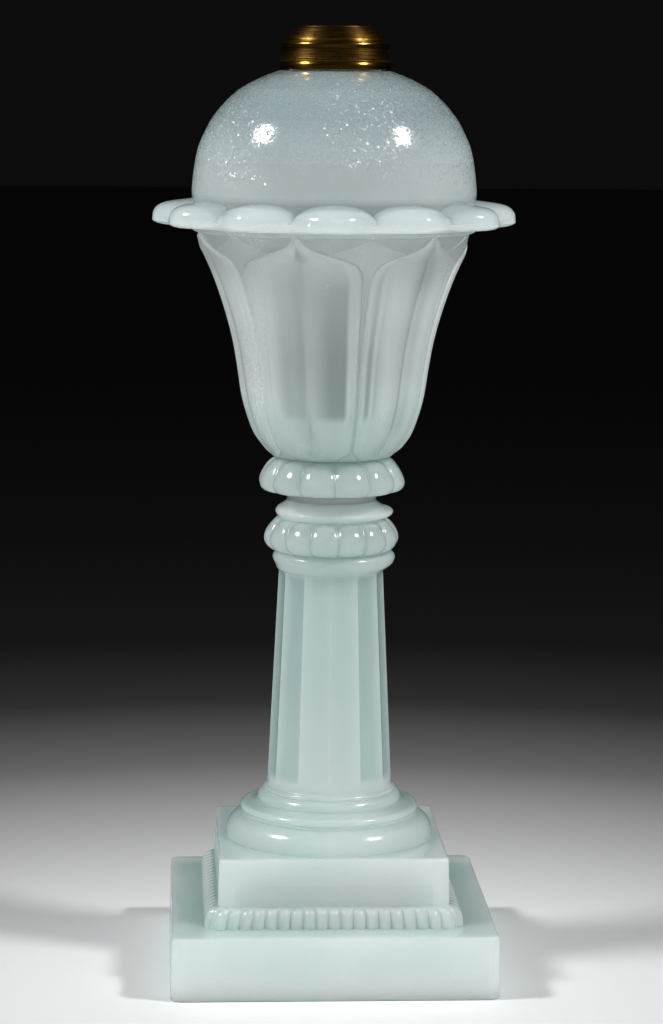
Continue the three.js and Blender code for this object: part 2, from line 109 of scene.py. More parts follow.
def roundedLine(corners, cuts, steps):
    # Each corner P of the polyline is cut back by its own length on both sides and bridged by
    # the parabola (1-t)^2 A + 2t(1-t) P + t^2 B. The two end points stay as they are.
    corners = np.asarray(corners, float)
    cuts = np.broadcast_to(np.asarray(cuts, float), len(corners) - 2)[:, None]
    middle = corners[1:-1]
    back = corners[:-2] - middle
    ahead = corners[2:] - middle
    start = middle + back / np.linalg.norm(back, axis=1, keepdims=True) * cuts
    stop = middle + ahead / np.linalg.norm(ahead, axis=1, keepdims=True) * cuts
    t = np.linspace(0, 1, steps + 1)[None, :, None]
    arcs = (1 - t) ** 2 * start[:, None] + 2 * t * (1 - t) * middle[:, None] + t ** 2 * stop[:, None]
    return np.vstack([corners[:1], arcs.reshape(-1, 2), corners[-1:]])


def smoothLine(stations, steps):
    # Catmull-Rom curve: each span blends its four nearest stations by cubic weights.
    stations = np.asarray(stations, float)
    padded = np.vstack([2 * stations[0] - stations[1], stations, 2 * stations[-1] - stations[-2]])
    before, a, b, after = padded[:-3], padded[1:-2], padded[2:-1], padded[3:]
    t = (np.arange(steps) / steps)[None, :, None]
    curve = 0.5 * (2 * a[:, None] + (b - before)[:, None] * t
                   + (2 * before - 5 * a + 4 * b - after)[:, None] * t ** 2
                   + (3 * a - before - 3 * b + after)[:, None] * t ** 3)
    return np.vstack([curve.reshape(-1, 2), stations[-1:]])


def readOff(table, place):
    # Value at a place, by straight lines between the table's (place, value) pairs.
    table = np.asarray(table, float)
    return np.interp(place, table[:, 0], table[:, 1])


def smoothStep(low, high, value):
    t = np.clip((value - low) / (high - low), 0, 1)
    return t * t * (3 - 2 * t)


def facesOfGrid(rows, columns, joinEnds):
    # Quads between neighbouring rows and columns; the columns close round the axis, and with
    # joinEnds the last row meets the first, as in a ring.
    index = np.arange(rows * columns).reshape(rows, columns)
    if joinEnds:
        index = np.vstack([index, index[:1]])
    right = np.roll(index, -1, axis=1)
    return np.stack([index[:-1], right[:-1], right[1:], index[1:]], axis=-1).reshape(-1, 4)


def makePiece(name, grid, joinEnds=False, **attributes):
    # The grid's rows run so that its faces point outwards. Without joinEnds both end rows are
    # closed by fans to a pole in their middle.
    rows, columns = grid.shape[:2]
    points = grid.reshape(-1, 3) * mm
    quads = facesOfGrid(rows, columns, joinEnds)
    corners = quads.ravel()
    starts = np.arange(len(quads)) * 4
    if not joinEnds:
        poles = np.array([grid[0].mean(axis=0), grid[-1].mean(axis=0)]) * mm
        first = np.arange(columns)
        last = first + (rows - 1) * columns
        lower = np.full(columns, len(points))
        fans = np.vstack([np.stack([lower, np.roll(first, -1), first], axis=-1),
                          np.stack([lower + 1, last, np.roll(last, -1)], axis=-1)])
        starts = np.concatenate([starts, len(corners) + np.arange(len(fans)) * 3])
        corners = np.concatenate([corners, fans.ravel()])
        points = np.vstack([points, poles])
    mesh = bpy.data.meshes.new(name)
    mesh.vertices.add(len(points))
    mesh.vertices.foreach_set("co", points.ravel().astype(np.float32))
    mesh.loops.add(len(corners))
    mesh.loops.foreach_set("vertex_index", corners.astype(np.int32))
    mesh.polygons.add(len(starts))
    mesh.polygons.foreach_set("loop_start", starts.astype(np.int32))
    mesh.update(calc_edges=True)
    mesh.validate()
    mesh.polygons.foreach_set("use_smooth", np.ones(len(starts), bool))
    mesh.set_sharp_from_angle(angle=sharpAngle)
    for key, values in attributes.items():
        layer = mesh.attributes.new(key, "FLOAT", "POINT")
        full = np.zeros(len(points), np.float32)
        full[:rows * columns] = np.broadcast_to(values, (rows, columns)).ravel()
        layer.data.foreach_set("value", full)
    piece = bpy.data.objects.new(name, mesh)
    scene.collection.objects.link(piece)
    triangles = len(corners) - 2 * len(starts)
    print(f"{name}: {triangles} triangles")
    return piece


# Base: plinth, reeded moulding, block, foot, fluted column, bead, knop and ring in one skin that
# starts at the top of the hollow, runs down it, across the rim underneath and up the outside.
base = {
    "columns": 504,               # 126 a side, 6 a reed, 42 a flute, 36 a lobe
    "cornerColumns": 6,           # columns in half a corner arc
    "plinthTop": 20.2, "plinthHalf": 51.85, "plinthCorner": 3.3, "innerCorner": 2.0,
    "plinthTopHalves": (46.5, 44.0, 42.6), "edgeCut": 1.1, "footCut": 0.7,
    "blockTop": 41.8, "blockHalf": 36.75, "blockCorner": 3.0, "blockDraft": 0.5, "blockEdgeCut": 1.1,
    "mouldingHeight": 6.3, "mouldingOut": 4.3, "mouldingCorner": 1.2, "reeds": 19, "reedDepth": 1.9,
    "seam": 0.02,                 # how far the moulding's foot dips under the plinth's top
    "reedEnd": (0.35, 0.95),      # shares of the rise over which a reed's upper end rounds off
    "pocketHalf": 33.0, "pocketTopHalf": 30.0, "pocketTop": 33.0, "pocketCorner": 8.0,
    "pocketRound": 2.5, "pocketEdgeCut": 0.9,
    "boreFoot": 12.0, "boreTip": 6.5, "boreTop": 116.0, "boreFlare": 1.5,
    "columnFoot": 61.2, "columnTop": 129.7, "columnRadius": 20.25, "columnTaper": 0.0485,
    "flutes": 12, "fluteDepth": 0.95, "fluteColumn": 59,
    "lobes": 14, "lobeDepth": 1.35, "lobeColumn": 68,
    "neck": 14.5, "lean": 0.9, "leanFrom": (17.4, 19.4), "ringWave": 0.35,
}
baseAngles = roundAngles(base["columns"], -45)


def squareRows(half, corner, height, relief=0):
    # A square with rounded corners: a corner arc, a straight side and an arc on each side, and
    # the side carried round by quarter turns. Relief moves the straight stretch outwards.
    half, corner, height = np.broadcast_arrays(*np.atleast_1d(half, corner, height))
    arc = base["cornerColumns"]
    perSide = base["columns"] // 4
    step = np.arange(perSide)
    turn = math.pi / 4 * np.where(step <= arc, step / arc - 1, 0)
    turn = np.where(step >= perSide - arc, math.pi / 4 * (step - perSide + arc) / arc, turn)
    share = np.clip((step - arc) / (perSide - 2 * arc), 0, 1) * 2 - 1
    inner = (half - corner)[:, None]
    along = inner * share + corner[:, None] * np.sin(turn)
    out = inner + corner[:, None] * np.cos(turn) + relief
    sides = []
    for quarter in range(4):
        c, s = math.cos(quarter * math.pi / 2), math.sin(quarter * math.pi / 2)
        sides.append(np.stack([along * c + out * s, along * s - out * c,
                               np.broadcast_to(height[:, None], along.shape)], axis=-1))
    return np.concatenate(sides, axis=1)


def reedRelief(rise):
    # Half round reeds side by side: depth * sqrt(1 - u^2 - w^2), u across a reed and w from 0 to
    # 1 where the reed's upper end rounds off.
    arc = base["cornerColumns"]
    perSide = base["columns"] // 4
    place = (np.arange(perSide) - arc) / (perSide - 2 * arc) * base["reeds"]
    u = 2 * (place % 1) - 1
    start, end = base["reedEnd"]
    w = np.clip((rise - start) / (end - start), 0, 1)[:, None]
    reed = np.sqrt(np.clip(1 - u ** 2 - w ** 2, 0, 1))
    return base["reedDepth"] * np.where((place < 0) | (place > base["reeds"]), 0, reed)


def baseHollowRows():
    spec = base
    t = np.linspace(0.12, 1, 5) * math.pi / 2
    tipCentre = spec["boreTop"] - spec["boreTip"]
    tip = np.stack([spec["boreTip"] * np.sin(t), tipCentre + spec["boreTip"] * np.cos(t)], axis=-1)
    down = np.linspace(0, 1, 5)[1:-1, None]
    shaft = tip[-1] * (1 - down) + np.array([spec["boreFoot"], spec["pocketTop"] + spec["boreFlare"]]) * down
    flare = np.array([[spec["boreFoot"] + 0.3, spec["pocketTop"] + 0.6],
                      [spec["boreFoot"] + 1.2, spec["pocketTop"]]])
    bore = revolved(np.vstack([tip, shaft, flare]), baseAngles)
    wall = roundedLine([[spec["pocketTopHalf"] - 4, spec["pocketTop"]],
                        [spec["pocketTopHalf"], spec["pocketTop"]],
                        [spec["pocketHalf"], 0],
                        [spec["pocketHalf"] + 2, 0]],
                       [spec["pocketRound"], spec["pocketEdgeCut"]], 3)
    corner = np.interp(wall[:, 0], [spec["pocketTopHalf"] - 4, spec["pocketTopHalf"]],
                       [spec["pocketCorner"] - 3, spec["pocketCorner"]])
    return [bore, squareRows(wall[:, 0], corner, wall[:, 1])]


def plinthRows():
    spec = base
    bottomHalf = baseHigh.x
    wall = roundedLine([[spec["pocketHalf"] + 3, 0], [bottomHalf, 0],
                        [spec["plinthHalf"], spec["plinthTop"]],
                        [spec["plinthHalf"] - 4, spec["plinthTop"]]],
                       [spec["footCut"], spec["edgeCut"]], 4)
    inset = np.clip(spec["plinthHalf"] - wall[:, 0], 0, 2)
    top = squareRows(spec["plinthTopHalves"], spec["innerCorner"], spec["plinthTop"])
    return [squareRows(wall[:, 0], spec["plinthCorner"] - 0.5 * inset, wall[:, 1]), top]


def mouldingRows():
    spec = base
    foot = spec["blockHalf"] + spec["blockDraft"]
    rise = np.linspace(0, 1, 15)
    a = rise * math.pi / 2
    half = foot + (spec["mouldingOut"] - spec["reedDepth"]) * np.cos(a)
    height = spec["plinthTop"] + spec["mouldingHeight"] * np.sin(a)
    height[0] -= spec["seam"]
    return [squareRows(half, spec["mouldingCorner"], height, reedRelief(rise))]


def blockRows():
    spec = base
    foot = spec["blockHalf"] + spec["blockDraft"]
    low = spec["plinthTop"] + spec["mouldingHeight"]
    wall = roundedLine([[foot - 0.1, low + 0.3], [spec["blockHalf"], spec["blockTop"]],
                        [spec["blockHalf"] - 2.5, spec["blockTop"]]], [spec["blockEdgeCut"]], 4)
    corner = spec["blockCorner"] - 0.6 * (foot - wall[:, 0]).clip(0, 2)
    return [squareRows(wall[:, 0], corner, wall[:, 1])]


def footRows():
    # Ovolo, two small beads, a sweeping hollow, a large bead and a small one under the column.
    bottom = base["blockTop"]
    ovolo = smoothLine([[33.9, 0.3], [33.95, 1.6], [33.6, 3.1], [32.7, 4.8], [31.4, 6.2], [30.0, 7.0],
                        [29.0, 7.3]], 2)
    crest = np.array([[28.7, 7.4], [29.05, 7.6], [29.1, 7.9], [28.75, 8.2], [28.4, 8.5], [28.6, 8.8],
                      [29.1, 9.1], [29.2, 9.5], [29.0, 10.1], [28.55, 10.5], [27.8, 10.7]])
    hollow = np.array([[26.6, 10.8], [25.3, 11.05], [24.3, 11.4], [23.5, 11.8]])
    beads = smoothLine([[23.5, 11.95], [23.65, 12.4], [23.5, 13.1], [23.2, 13.8], [22.7, 14.4],
                        [21.95, 14.9], [21.3, 15.05], [21.3, 15.2], [21.6, 15.4], [21.65, 15.8],
                        [21.45, 16.25], [20.95, 16.6], [20.5, 16.9], [20.35, 17.6], [20.3, 18.5]], 2)
    profile = np.vstack([[[34.0, 0.0]], ovolo, crest, hollow, beads]) + [0, bottom]
    return [revolved(profile, baseAngles)]


def acrossRepeat(columns, repeats, firstColumn):
    # Place of each column across a repeated form: 0 in its middle, -1 and 1 at its two edges.
    per = columns // repeats
    return 2 * ((np.arange(columns) - firstColumn) % per) / per - 1


def columnRows():
    # r = tapering radius minus the flute depth * (1 - |u|^2.2), the depth fading in at both ends.
    spec = base
    share = np.array([0, 0.008, 0.02, 0.04, 0.3, 0.6, 0.9, 0.965, 0.985, 1])
    height = spec["columnFoot"] + share * (spec["columnTop"] - spec["columnFoot"])
    radius = spec["columnRadius"] - spec["columnTaper"] * (height - spec["columnFoot"])
    u = acrossRepeat(spec["columns"], spec["flutes"], spec["fluteColumn"])
    depth = spec["fluteDepth"] * smoothStep(-0.01, 0.035, share) * smoothStep(1.01, 0.975, share)
    flute = depth[:, None] * (1 - np.abs(u) ** 2.2)
    return [polarGrid(baseAngles, radius[:, None] - flute, height[:, None])]


def leanOut(rows, profile):
    # The bead and the ring stand a little off the axis, towards +X, as the mould halves met.
    rows[..., 0] += (base["lean"] * smoothStep(*base["leanFrom"], profile[:, 0]))[:, None]
    return rows


def beadRows():
    profile = smoothLine([[17.2, 129.9], [17.5, 130.2], [18.3, 131.0], [19.3, 132.3], [19.85, 133.6],
                          [19.85, 134.5], [19.45, 135.25], [18.7, 135.7], [17.9, 135.9]], 2)
    return [leanOut(revolved(profile, baseAngles), profile)]


def lobedRows(stations, steps, angle, u, depth, archStart):
    # Petals side by side: r = ground + depth * sqrt(1 - u^2 - w^2), where u runs across a petal
    # and w from 0 to 1 over its upper end, so each petal is domed with a round top.
    profile = smoothLine(stations, steps)
    share = np.linspace(0, 1, len(profile))
    w = np.clip((share - archStart) / (1 - archStart), 0, 1)[:, None] * 0.95
    foot = smoothStep(0, 0.1, share)[:, None]
    swell = np.sqrt(np.clip(1 - u ** 2 - w ** 2, 0, 1))
    radius = profile[:, 0, None] - depth * foot * (1 - swell)
    return polarGrid(angle, radius, profile[:, 1, None])


def baseKnopRows():
    u = acrossRepeat(base["columns"], base["lobes"], base["lobeColumn"])
    stations = [[17.6, 135.95], [18.6, 136.25], [20.1, 137.0], [21.4, 138.4], [21.95, 140.0],
                [21.8, 141.6], [21.1, 143.4], [20.0, 145.1], [18.9, 146.3], [17.9, 146.9]]
    return [lobedRows(stations, 3, baseAngles, u, base["lobeDepth"], 0.5)]


def ringRows():
    # A cone from the neck out to a blunt edge, its rim very slightly six-sided.
    spec = base
    profile = smoothLine([[17.6, 147.05], [18.2, 147.4], [18.9, 148.0], [19.4, 148.7], [19.45, 149.3],
                          [19.0, 149.75], [17.7, 150.4], [16.3, 151.2], [15.2, 151.9],
                          [spec["neck"] + 0.15, 152.5], [spec["neck"], baseHigh.z]], 2)
    swell = smoothStep(15, 19.4, profile[:, 0, None]) * (0.5 - 0.5 * np.cos(6 * baseAngles))
    rows = polarGrid(baseAngles, profile[:, 0, None] - spec["ringWave"] * swell, profile[:, 1, None])
    return [leanOut(rows, profile)]


def makeBase():
    rows = [*baseHollowRows(), *plinthRows(), *mouldingRows(), *blockRows(), *footRows(),
            *columnRows(), *beadRows(), *baseKnopRows(), *ringRows()]
    return makePiece("glassBase", np.concatenate(rows))


# Wafer: the disc of glass between base and font, its rim bulged by the pressing.
wafer = {"columns": 160, "radius": 14.3, "bulge": 0.35}


def makeWafer():
    low, high = baseHigh.z, fontLow.z
    t = np.linspace(0, 1, 9)
    rim = np.stack([wafer["radius"] + wafer["bulge"] * np.sin(math.pi * t), low + (high - low) * t], axis=-1)
    discs = np.array([[5.0, 0], [10.0, 0]])
    profile = np.vstack([discs + [0, low], rim, discs[::-1] + [0, high]])
    return makePiece("glassWafer", revolved(profile, roundAngles(wafer["columns"], 0)))


# Font: knop, bell with its leaves, flange, dome, neck and the oil space inside, in one skin.
font = {
    "columns": 480,               # 80 a leaf, 40 a petal
    "leafTurn": -18.0, "leaves": 6, "petals": 12, "petalColumn": 0, "lobeColumn": 24,
    "lobeDepth": 1.7,
    "bellTop": 241.5, "leafTip": 240.6, "leafShoulder": 16.6, "leafHalf": 28.1, "leafSpread": 0.8,
    "leafStep": 1.3, "edgeAngle": 0.5, "leafFullHalf": 22, "creaseDepth": 1.6, "creaseShare": 0.75,
    "edgeRoll": 0.8, "rollShare": 0.62, "rimRise": 0.3, "rimShares": (0.74, 0.79),
    "lipRise": 0.35, "lipShare": 0.955, "lipWidth": 0.03,
    "backTip": 239.6, "backRise": 0.45, "ringLow": 239.3,
    "flangeOut": 58.3, "valleyOut": 54.3, "rimLow": 242.9, "rimHeight": 1.2, "plateRise": 1.6,
    "petalTop": 249.9,
    "domeTop": 290.7, "neckTop": 298.0, "neck": 14.6, "neckBore": 12.4, "boreBottom": 288.0,
}

bellStations = [[17.5, 166.6], [19.8, 167.7], [22.3, 170.4], [25.6, 175.3], [28.8, 185.1],
                [30.4, 194.9], [32.1, 204.6], [34.7, 214.3], [38.0, 223.9], [42.1, 233.6],
                [44.9, 240.3], [45.4, 241.5]]
# Share of the leaf's half angle by share of the shoulder's height below its tip.
leafOgee = smoothLine([[0, 0], [0.13, 0.07], [0.26, 0.18], [0.37, 0.43], [0.47, 0.70], [0.60, 0.89],
                       [0.79, 0.975], [1, 1]], 8)
# Half angle of a back leaf by the distance below its tip.
backLeafEdge = [[0, 0], [1.5, 3.4], [3.1, 8.2], [4.3, 12.8], [6, 20], [9, 34]]
# Degrees by which the leaves stray from an even pitch, by angle. The mould was cut by hand.
leafStray = [[-150, 0], [-60, -1.5], [-30, -3.2], [0, -2.8], [30, 0.6], [60, 2.0], [90, -2.6], [150, 0]]
# Places of the flange's rows, under it and over it, as shares of the way from bell to rim.
underShares = [0.0, 0.12, 0.28, 0.45, 0.62, 0.77, 0.88, 0.95, 0.985]
overShares = [0.999, 0.995, 0.988, 0.978, 0.965, 0.948, 0.925, 0.895, 0.86, 0.815, 0.76, 0.69,
              0.6, 0.48, 0.34, 0.18, 0.0]


def leafHalfAngle(height):
    # Nothing at the tip, then an ogee out to the full half angle one shoulder height below it.
    # Further down the strip between two leaves narrows to a line.
    share = readOff(leafOgee, (font["leafTip"] - height) / font["leafShoulder"])
    return font["leafHalf"] * share + font["leafSpread"] * smoothStep(224, 195, height)


def backHalfAngle(height):
    return readOff(backLeafEdge, font["backTip"] - height)


def unevenness(angle, height):
    # The leaves stray less at their tips.
    stray = readOff(leafStray, (angle + 180) % 360 - 180)
    return stray * (0.35 + 0.65 * smoothStep(238, 226, height))


def leafSection(share):
    # Height of a leaf over its own middle line: a sharp crease, a swelling half, then a low rim
    # that rolls over at the edge.
    spec = font
    crease = -spec["creaseDepth"] * np.clip(1 - share / spec["creaseShare"], 0, 1) ** 2.2
    roll = -spec["edgeRoll"] * np.clip((share - spec["rollShare"]) / (1 - spec["rollShare"]), 0, 1) ** 2.2
    rim = spec["rimRise"] * smoothStep(*spec["rimShares"], share)
    lip = spec["lipRise"] * np.exp(-((share - spec["lipShare"]) / spec["lipWidth"]) ** 2)
    return crease + roll + rim + lip


def bellGrid(height):
    # Angles and relief of one half leaf pitch, in 41 columns. They follow the crease, rim and
    # edge of the leaf, then the edge and middle of the back leaf behind it.
    spec = font
    pitch, edge = 180 / spec["leaves"], spec["edgeAngle"]
    front = np.maximum(leafHalfAngle(height), 0.25)[:, None]
    back = np.clip(backHalfAngle(height)[:, None], 0.2, pitch - front - 2 * edge)
    share = (1 - (1 - np.linspace(0, 1, 22)) ** 1.25)[None, :]
    groundShare = np.linspace(0, 1, 7)[None, 1:-1]
    backShare = np.linspace(1, 0, 10)[None, 1:]
    stepAngle = front + edge * np.array([[0.5, 1.0]])
    backEdge = pitch - back
    groundAngle = stepAngle[:, -1:] + (backEdge - edge - stepAngle[:, -1:]) * groundShare
    backStep = backEdge - edge * np.array([[1.0, 0.5]])
    backAngle = pitch - back * np.concatenate([[[1.0]], backShare], axis=1)
    angle = np.concatenate([front * share, stepAngle, groundAngle, backStep, backAngle], axis=1)
    showing = smoothStep(0.3, 2.0, leafHalfAngle(height))[:, None]
    backShowing = smoothStep(0.3, 2.0, backHalfAngle(height))[:, None]
    widthFade = np.clip(front / spec["leafFullHalf"], 0, 1)
    leaf = showing * (spec["leafStep"] + widthFade * leafSection(share))
    step = showing * (spec["leafStep"] - spec["edgeRoll"] * widthFade) * np.array([[0.5, 0.0]])
    ground = np.zeros_like(groundAngle)
    backLeaf = np.broadcast_to(backShowing * spec["backRise"], backAngle.shape)
    relief = np.concatenate([leaf, step, ground, 0 * backStep, backLeaf], axis=1) - spec["leafStep"]
    relief = relief * smoothStep(spec["ringLow"] + 0.5, spec["ringLow"], height)[:, None]
    # For the material: 0 to 1 across the leaf, 1.1 and 1.5 down its edge, 1.5 on the ground, 1.4
    # to 1.28 up the back leaf's edge and 1.2 on it.
    marks = np.concatenate([share[0], [1.1, 1.5], [1.5] * groundAngle.shape[1], [1.4, 1.3, 1.28],
                            [1.2] * (backAngle.shape[1] - 1)])
    side = np.broadcast_to(marks, angle.shape)
    return angle, relief, side


def mirroredRing(angle, *fields):
    # One half pitch becomes the whole ring: the half, its mirror image, and both repeated.
    pitch = 360 / font["leaves"]
    fullAngle = np.concatenate([angle, pitch - angle[:, -2:0:-1]], axis=1)
    turns = pitch * np.arange(font["leaves"])
    angles = (fullAngle[:, None, :] + turns[None, :, None]).reshape(len(angle), -1)
    whole = [np.concatenate([field, field[:, -2:0:-1]], axis=1) for field in fields]
    rightHalf = np.concatenate([np.ones_like(angle), np.zeros_like(angle[:, -2:0:-1])], axis=1)
    return angles, *(np.tile(field, (1, font["leaves"])) for field in [*whole, rightHalf])


def bellRows(uniform):
    spec = font
    height = np.concatenate([np.linspace(167.4, 172, 6), np.linspace(174, 222, 22),
                             np.linspace(223, 231, 12), np.linspace(231.4, spec["ringLow"], 30),
                             spec["ringLow"] + np.array([0.25, 0.5, 1.3]), [spec["bellTop"] - 0.2]])
    radius = readOff(smoothLine(bellStations, 16)[:, ::-1], height)
    angles, reliefs, sides, rightHalf = mirroredRing(*bellGrid(height))
    angles = angles + unevenness(angles, height[:, None])
    plain = np.degrees(uniform) - spec["leafTurn"]
    settle = smoothStep(167.2, 171, height) * smoothStep(spec["bellTop"], spec["leafTip"], height)
    angles = plain + (angles - plain) * settle[:, None]
    sink = smoothStep(167.4, 170.5, height)[:, None]
    radius = radius[:, None] + 0.5 * sink + reliefs * sink
    return polarGrid(np.radians(angles + spec["leafTurn"]), radius, height[:, None]), sides, rightHalf


def flangeRows(uniform):
    # A plate with a round rim whose outline waves between petals. Each petal is a dome on it,
    # (1 - |u|^2.2 - s^6)^0.5 high, u across the petal and s from the dome's foot to the rim.
    spec = font
    u = acrossRepeat(spec["columns"], spec["petals"], spec["petalColumn"])
    wave = 0.5 - 0.5 * np.cos(math.pi * u)
    outline = spec["flangeOut"] - (spec["flangeOut"] - spec["valleyOut"]) * wave
    root = bellStations[-1][0]
    under, over = np.array(underShares)[:, None], np.array(overShares)[:, None]
    climb = 0.25 * under ** 2 + 0.75 * under ** 9
    droop = spec["bellTop"] - 0.1 + climb * (spec["rimLow"] - spec["bellTop"])
    lowRows = polarGrid(uniform, root + under * (outline - root), droop)
    edge = np.sqrt(1 - np.clip((over - 0.97) / 0.03, 0, 1) ** 2)
    plate = spec["rimLow"] + spec["rimHeight"] * edge + spec["plateRise"] * (1 - over)
    swell = np.sqrt(np.clip(1 - np.abs(u) ** 2.2 - over ** 6, 0, 1))
    top = spec["petalTop"] - spec["rimLow"] - spec["rimHeight"] - spec["plateRise"]
    rim = polarGrid(uniform[None, :], outline[None, :], spec["rimLow"])
    return [lowRows, rim, polarGrid(uniform, root + over * (outline - root), plate + top * swell)]


def domeProfile():
    top = font["domeTop"]
    curve = smoothLine([[45.6, 250.9], [45.6, 253.5], [45.2, 257.6], [44.3, 263.3], [43.3, 267.1],
                        [41.6, 270.9], [39.6, 274.8], [36.8, 278.6], [34.2, 281.4], [31.0, 284.3],
                        [28.1, 286.1], [24.5, 288.0], [20.6, 289.6], [17.9, top - 0.15],
                        [16.6, top]], 2)
    neck = roundedLine([[16.0, top], [font["neck"], top], [font["neck"], font["neckTop"]],
                        [font["neckBore"], font["neckTop"]], [font["neckBore"], font["boreBottom"]]],
                       [0.3, 0.6, 0.6], 2)
    return np.vstack([curve, neck])


def reservoirProfile():
    return np.array([[12.6, 286.8], [15.5, 285.2], [21.3, 282.0], [29.0, 278.0], [34.8, 272.6],
                     [38.6, 265.5], [41.2, 256.0], [40.9, 247.0], [37.6, 237.0], [33.6, 227.0],
                     [30.2, 217.0], [27.9, 206.0], [26.0, 196.0], [22.6, 187.5], [17.0, 182.0],
                     [10.5, 179.8], [3.0, 179.5]])


def makeFont():
    spec = font
    uniform = roundAngles(spec["columns"], spec["leafTurn"])
    u = acrossRepeat(spec["columns"], spec["petals"], spec["lobeColumn"])
    bottom = np.array([[8.0, 0], [14.5, 0], [16.5, 0.05], [18.2, 0.2]]) + [0, fontLow.z]
    knop = lobedRows([[18.9, fontLow.z + 0.3], [21.6, 156.0], [23.2, 156.9], [23.85, 158.2],
                      [23.8, 159.6], [23.2, 161.4], [22.2, 163.3], [20.9, 165.1], [19.4, 166.3],
                      [18.0, 166.8]], 3, uniform, u, spec["lobeDepth"], 0.45)
    bell, sides, rightHalf = bellRows(uniform)
    below = np.concatenate([revolved(bottom, uniform), knop])
    above = np.concatenate([*flangeRows(uniform), revolved(domeProfile(), uniform),
                            revolved(reservoirProfile(), uniform)])
    side = np.concatenate([np.full(below.shape[:2], 2.0), sides, np.full(above.shape[:2], 2.0)])
    right = np.concatenate([np.zeros(below.shape[:2]), rightHalf, np.zeros(above.shape[:2])])
    return makePiece("glassFont", np.concatenate([below, bell, above]), leafSide=side, leafRight=right)


# Collar: spun brass shell turned in at its rim to a threaded sleeve.
collar = {"columns": 256, "opening": 11.1, "wall": 0.8, "sleeve": 10.5, "threadPitch": 1.8,
          "threadDepth": 0.35, "threadRows": 58}


def collarProfile():
    low, high = collarLow.z, collarHigh.z
    skirt = [[17.75, low], [17.8, low + 0.3], [17.8, low + 1.6], [17.6, low + 2.2], [17.35, low + 2.5]]
    lowerBeads = [[17.65, low + 2.8], [17.7, low + 3.0], [17.4, low + 3.25], [17.7, low + 3.5],
                  [17.7, low + 3.7], [17.35, low + 3.95]]
    band = [[17.25, low + 4.2], [17.25, low + 7.1]]
    upperBead = [[17.45, low + 7.5], [17.5, low + 7.9], [17.3, low + 8.4], [16.8, low + 8.7],
                 [16.35, low + 8.95]]
    shoulder = [[16.3, low + 9.3], [16.1, low + 9.8], [15.5, low + 10.5], [14.7, low + 11.3],
                [13.7, low + 12.2], [12.9, low + 12.9], [12.3, high - 0.5], [11.95, high - 0.12],
                [11.6, high], [11.25, high - 0.15], [11.1, high - 0.6]]
    outside = smoothLine([*skirt, *lowerBeads, *band, *upperBead, *shoulder], 3)
    inside = [[16.2, low + 8.3], [16.3, low + 6.0], [16.4, low + 2.0], [16.6, low + 0.4], [16.9, low]]
    return outside, np.array(inside)


def makeCollar():
    spec = collar
    angle = roundAngles(spec["columns"], 0)
    outside, inside = collarProfile()
    z = np.linspace(collarHigh.z - 1.0, collarHigh.z - spec["sleeve"], spec["threadRows"])
    fade = smoothStep(0, 1.2, collarHigh.z - 0.8 - z) * smoothStep(0, 1.0, z - z[-1])
    phase = fullTurn * z[:, None] / spec["threadPitch"] - angle
    thread = spec["threadDepth"] * fade[:, None] * (0.5 - 0.5 * np.cos(phase)) ** 0.8
    sleeve = polarGrid(angle, spec["opening"] + thread, z[:, None])
    back = np.array([[spec["opening"] + spec["wall"], z[-1]],
                     [spec["opening"] + spec["wall"], collarHigh.z - 1.8],
                     [12.6, collarHigh.z - 2.2]])
    rows = [revolved(outside, angle), sleeve, revolved(back, angle), revolved(inside, angle)]
    return makePiece("brassCollar", np.concatenate(rows), joinEnds=True)


glassBase = makeBase()
glassWafer = makeWafer()
glassFont = makeFont()
brassCollar = makeCollar()
print("meshes made")


# Materials.

def newMaterial(name):
    material = bpy.data.materials.new(name)
    material.use_nodes = True
    tree = material.node_tree
    tree.nodes.clear()
    shader = tree.nodes.new("ShaderNodeBsdfPrincipled")
    output = tree.nodes.new("ShaderNodeOutputMaterial")
    tree.links.new(shader.outputs["BSDF"], output.inputs["Surface"])
    return material, tree, shader


def feed(tree, target, source):
    # A socket is linked, and a plain value is set.
    if isinstance(source, bpy.types.NodeSocket):
        tree.links.new(source, target)
    else:
        target.default_value = source


def feedAll(tree, node, sources):
    for name, source in sources.items():
        feed(tree, node.inputs[name], source)


def addNode(tree, kind, sources=None, **settings):
    node = tree.nodes.new(kind)
    for key, value in settings.items():
        setattr(node, key, value)
    feedAll(tree, node, sources or {})
    return node


def mathNode(tree, operation, *sources, clamp=False):
    node = addNode(tree, "ShaderNodeMath", operation=operation, use_clamp=clamp)
    for target, source in zip(node.inputs, sources):
        feed(tree, target, source)
    return node.outputs[0]


def product(tree, first, *others):
    for other in others:
        first = mathNode(tree, "MULTIPLY", first, other)
    return first


def scaled(tree, value, factor, offset):
    return mathNode(tree, "MULTIPLY_ADD", value, factor, offset)


def vectorNode(tree, operation, *sources):
    node = addNode(tree, "ShaderNodeVectorMath", operation=operation)
    for target, source in zip(node.inputs, sources):
        feed(tree, target, source)
    return node.outputs["Value" if operation == "LENGTH" else "Vector"]


def mixColors(tree, factor, first, second, blend="MIX"):
    node = addNode(tree, "ShaderNodeMix", data_type="RGBA", blend_type=blend)
    feed(tree, node.inputs["Factor"], factor)
    for socket, value in ((node.inputs[6], first), (node.inputs[7], second)):
        feed(tree, socket, (*value, 1) if isinstance(value, tuple) else value)
    return node.outputs[2]


def tinted(tree, mask, color, tint):
    # The colour times the tint where the mask is 1. A single number is a grey tint.
    tint = (tint,) * 3 if isinstance(tint, float) else tint
    return mixColors(tree, mask, color, tint, "MULTIPLY")


def noiseFac(tree, vector, scale, detail=2.0, roughness=0.5):
    return addNode(tree, "ShaderNodeTexNoise", {"Vector": vector, "Scale": scale, "Detail": detail,
                                                "Roughness": roughness}).outputs["Fac"]


